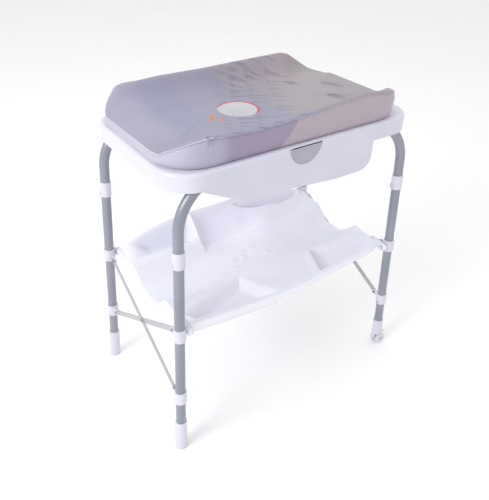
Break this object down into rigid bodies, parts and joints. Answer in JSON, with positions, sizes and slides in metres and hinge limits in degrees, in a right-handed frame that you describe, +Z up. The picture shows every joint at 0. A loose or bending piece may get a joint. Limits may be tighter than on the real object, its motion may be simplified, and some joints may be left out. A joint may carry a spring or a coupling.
{
  "type": "baby changing table",
  "caption": "Standing baby changing table: tube frame with crossed side braces, lift-off bath tub under a hinged padded mat, moulded tray, plain feet left and castors right",
  "frame": {"origin": "on the floor, under the middle of the stand", "axes": "+X to the castor end, -Y to the front, +Z up"},
  "size_m": [0.864, 0.504, 0.9643],
  "materials": {
    "tube": "satin powder coat, grey with a blue tint",
    "steel": "dull plated steel",
    "white_plastic": "moulded, satin",
    "tub_plastic": "moulded, soft gloss",
    "grip_plastic": "moulded, satin grey",
    "brace_plastic": "satin light grey",
    "rubber_pad": "moulded rubber",
    "wheel_plastic": "moulded, satin",
    "board": "moulded sheet",
    "mat_cover": "printed coated cover, satin"
  },
  "bodies": {
    "frame": {"front_top_tube": "tube", "rear_top_tube": "tube", "front_left_leg": "tube", "front_left_spigot": "steel", "front_left_joint_collar": "white_plastic", "front_left_brace_collar": "white_plastic", "front_left_tray_collar": "white_plastic", "front_left_foot": "white_plastic", "front_left_foot_pad": "rubber_pad", "front_right_leg": "tube", "front_right_spigot": "steel", "front_right_joint_collar": "white_plastic", "front_right_brace_collar": "white_plastic", "front_right_tray_collar": "white_plastic", "front_right_castor_sleeve": "white_plastic", "rear_left_leg": "tube", "rear_left_spigot": "steel", "rear_left_joint_collar": "white_plastic", "rear_left_brace_collar": "white_plastic", "rear_left_tray_collar": "white_plastic", "rear_left_foot": "white_plastic", "rear_left_foot_pad": "rubber_pad", "rear_right_leg": "tube", "rear_right_spigot": "steel", "rear_right_joint_collar": "white_plastic", "rear_right_brace_collar": "white_plastic", "rear_right_tray_collar": "white_plastic", "rear_right_castor_sleeve": "white_plastic", "left_outer_brace": "brace_plastic", "left_inner_brace": "brace_plastic", "right_outer_brace": "brace_plastic", "right_inner_brace": "brace_plastic", "brace_rivets": "steel", "collar_screws": "steel"},
    "front_left_button": {"front_left_push_button": "white_plastic"},
    "front_right_button": {"front_right_push_button": "white_plastic"},
    "front_right_castor": {"front_right_castor_body": "white_plastic", "front_right_castor_axle": "steel"},
    "front_right_castor_front_wheel": {"front_right_castor_front_wheel": "wheel_plastic"},
    "front_right_castor_rear_wheel": {"front_right_castor_rear_wheel": "wheel_plastic"},
    "front_right_castor_brake": {"front_right_castor_brake_lever": "white_plastic"},
    "rear_left_button": {"rear_left_push_button": "white_plastic"},
    "rear_right_button": {"rear_right_push_button": "white_plastic"},
    "rear_right_castor": {"rear_right_castor_body": "white_plastic", "rear_right_castor_axle": "steel"},
    "rear_right_castor_front_wheel": {"rear_right_castor_front_wheel": "wheel_plastic"},
    "rear_right_castor_rear_wheel": {"rear_right_castor_rear_wheel": "wheel_plastic"},
    "rear_right_castor_brake": {"rear_right_castor_brake_lever": "white_plastic"},
    "tub": {"tub": "tub_plastic", "grip_insert": "grip_plastic", "drain_fitting": "white_plastic", "left_hinge_bracket": "white_plastic", "right_hinge_bracket": "white_plastic", "left_hinge_pin": "steel", "right_hinge_pin": "steel"},
    "drain_plug": {"drain_plug": "grip_plastic"},
    "mat": {"mat_board": "board", "mat_pad": "mat_cover"},
    "tray": {"tray": "white_plastic"}
  },
  "joints": [
    {"name": "front_left_button_press", "type": "slide", "parent": "frame", "child": "front_left_button", "axis": [0.9569, -0.2882, -0.0352], "range_m": [0, 0.003], "stiffness_N_per_m": 300},
    {"name": "front_right_button_press", "type": "slide", "parent": "frame", "child": "front_right_button", "axis": [0.9569, -0.2854, 0.0534], "range_m": [0, 0.003], "stiffness_N_per_m": 300},
    {"name": "front_right_castor_swivel", "type": "hinge", "parent": "frame", "child": "front_right_castor", "pos_m": [0.40843, -0.23251, 0.0425], "axis": [0, 0, 1], "continuous": true},
    {"name": "front_right_castor_front_wheel_spin", "type": "hinge", "parent": "front_right_castor", "child": "front_right_castor_front_wheel", "pos_m": [0.41643, -0.24451, 0.019], "axis": [0, 1, 0], "continuous": true},
    {"name": "front_right_castor_rear_wheel_spin", "type": "hinge", "parent": "front_right_castor", "child": "front_right_castor_rear_wheel", "pos_m": [0.41643, -0.22051, 0.019], "axis": [0, 1, 0], "continuous": true},
    {"name": "front_right_castor_brake_press", "type": "hinge", "parent": "front_right_castor", "child": "front_right_castor_brake", "pos_m": [0.42243, -0.23251, 0.0403], "axis": [0, 1, 0], "range_deg": [0, 12]},
    {"name": "rear_left_button_press", "type": "slide", "parent": "frame", "child": "rear_left_button", "axis": [0.9569, -0.2854, -0.0534], "range_m": [0, 0.003], "stiffness_N_per_m": 300},
    {"name": "rear_right_button_press", "type": "slide", "parent": "frame", "child": "rear_right_button", "axis": [0.9569, -0.2882, 0.0352], "range_m": [0, 0.003], "stiffness_N_per_m": 300},
    {"name": "rear_right_castor_swivel", "type": "hinge", "parent": "frame", "child": "rear_right_castor", "pos_m": [0.40843, 0.23251, 0.0425], "axis": [0, 0, 1], "continuous": true},
    {"name": "rear_right_castor_front_wheel_spin", "type": "hinge", "parent": "rear_right_castor", "child": "rear_right_castor_front_wheel", "pos_m": [0.41643, 0.22051, 0.019], "axis": [0, 1, 0], "continuous": true},
    {"name": "rear_right_castor_rear_wheel_spin", "type": "hinge", "parent": "rear_right_castor", "child": "rear_right_castor_rear_wheel", "pos_m": [0.41643, 0.24451, 0.019], "axis": [0, 1, 0], "continuous": true},
    {"name": "rear_right_castor_brake_press", "type": "hinge", "parent": "rear_right_castor", "child": "rear_right_castor_brake", "pos_m": [0.42243, 0.23251, 0.0403], "axis": [0, 1, 0], "range_deg": [0, 12]},
    {"name": "tub_lift", "type": "slide", "parent": "frame", "child": "tub", "axis": [0, 0, 1], "range_m": [0, 0.25]},
    {"name": "drain_plug_lift", "type": "slide", "parent": "tub", "child": "drain_plug", "axis": [0, 0, 1], "range_m": [0, 0.06]},
    {"name": "mat_flip", "type": "hinge", "parent": "tub", "child": "mat", "pos_m": [0, 0.237, 0.8793], "axis": [-1, 0, 0], "range_deg": [0, 100]},
    {"name": "tray_lift", "type": "slide", "parent": "frame", "child": "tray", "axis": [0, 0, 1], "range_m": [0, 0.05]}
  ]
}
